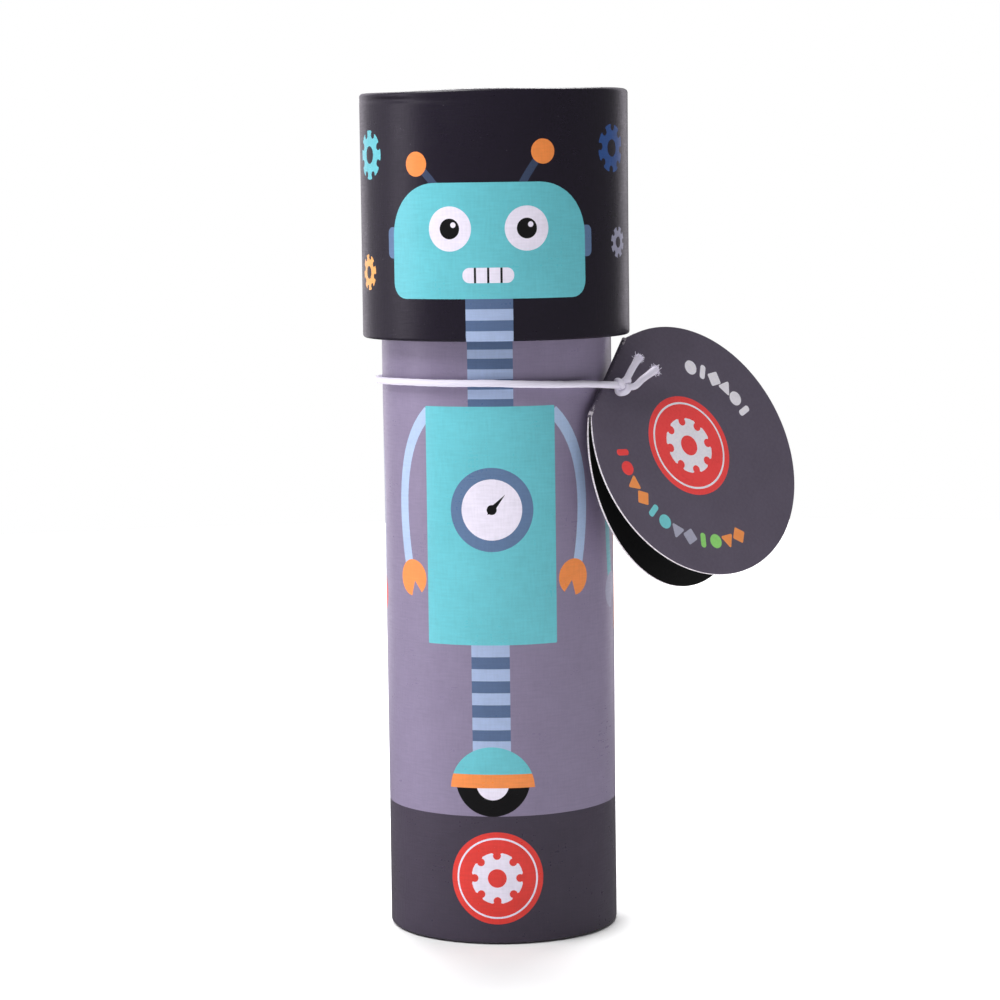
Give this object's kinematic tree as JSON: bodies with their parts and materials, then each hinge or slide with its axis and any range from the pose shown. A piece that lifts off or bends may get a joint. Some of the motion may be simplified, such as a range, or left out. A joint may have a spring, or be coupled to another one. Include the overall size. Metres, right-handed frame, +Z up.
{
  "type": "kaleidoscope",
  "caption": "Printed card-tube kaleidoscope: a wide cap turns to tumble beads above an inner mirror prism, with a peephole at the base and a folded round hang tag on elastic.",
  "frame": {"origin": "centre of the eyepiece end, on the surface the toy stands on, measured without the elastic and the tag", "axes": "+Z up along the tube towards the light end, -Y the front of the print, +X the side the tag hangs on"},
  "size_m": [0.0879, 0.0544, 0.17],
  "materials": {
    "card": "bare grey-brown wound card",
    "body_paper": "satin printed paper with a fine linen emboss",
    "cap_paper": "satin printed paper with a fine linen emboss",
    "black_card": "matt black card",
    "eyepiece_plastic": "matt black plastic",
    "mirror": "mirror-coated strip",
    "clear_plastic": "clear polished plastic",
    "frosted_plastic": "frosted white translucent plastic",
    "tag_card": "dark satin printed card",
    "elastic": "pale lilac braided round elastic",
    "bead_red": "clear coloured plastic",
    "bead_blue": "clear coloured plastic",
    "bead_yellow": "clear coloured plastic",
    "bead_green": "clear coloured plastic",
    "bead_orange": "clear coloured plastic",
    "bead_pink": "clear coloured plastic",
    "bead_clear": "clear plastic"
  },
  "bodies": {
    "body": {"body_tube": "card", "body_wrap": "body_paper", "stop_ring": "card", "eyepiece_disc": "eyepiece_plastic", "eyepiece_window": "clear_plastic", "mirror_strip_1": "mirror", "mirror_strip_2": "mirror", "mirror_strip_3": "mirror", "mirror_sleeve": "black_card", "packing_pad_1": "card", "packing_pad_2": "card", "packing_pad_3": "card", "mirror_end_window": "clear_plastic", "window_ring": "card", "tag_elastic": "elastic"},
    "cap": {"cap_tube": "card", "cap_wrap": "cap_paper", "cap_collar": "card", "chamber_floor": "clear_plastic", "chamber_spacer": "card", "diffuser_window": "frosted_plastic", "cap_end_ring": "card"},
    "beads": {"bead_round_1": "bead_red", "bead_gem_2": "bead_blue", "bead_star_3": "bead_yellow", "bead_tube_4": "bead_green", "bead_round_5": "bead_orange", "bead_gem_6": "bead_pink", "bead_star_7": "bead_clear", "bead_tube_8": "bead_red", "bead_round_9": "bead_green", "bead_gem_10": "bead_yellow", "bead_tube_11": "bead_blue", "bead_star_12": "bead_pink"},
    "tag": {"tag_front_leaf": "tag_card", "tag_knot": "elastic", "tag_cord_end_1": "elastic", "tag_cord_end_2": "elastic"},
    "tag_back": {"tag_back_leaf": "tag_card"}
  },
  "joints": [
    {"name": "cap_turn", "type": "hinge", "parent": "body", "child": "cap", "pos_m": [0, 0, 0.1285], "axis": [0, 0, 1], "continuous": true},
    {"name": "bead_tumble", "type": "hinge", "parent": "cap", "child": "beads", "pos_m": [0, 0, 0.1513], "axis": [0, 0, 1], "continuous": true},
    {"name": "tag_swing", "type": "hinge", "parent": "body", "child": "tag", "pos_m": [0.0252, -0.009, 0.1099], "axis": [-0.3151, -0.666, -0.6761], "range_deg": [-3, 11]},
    {"name": "tag_open", "type": "hinge", "parent": "tag", "child": "tag_back", "pos_m": [0.02249, -0.00984, 0.11199], "axis": [0.3151, 0.666, 0.6761], "range_deg": [-12, 1]}
  ]
}
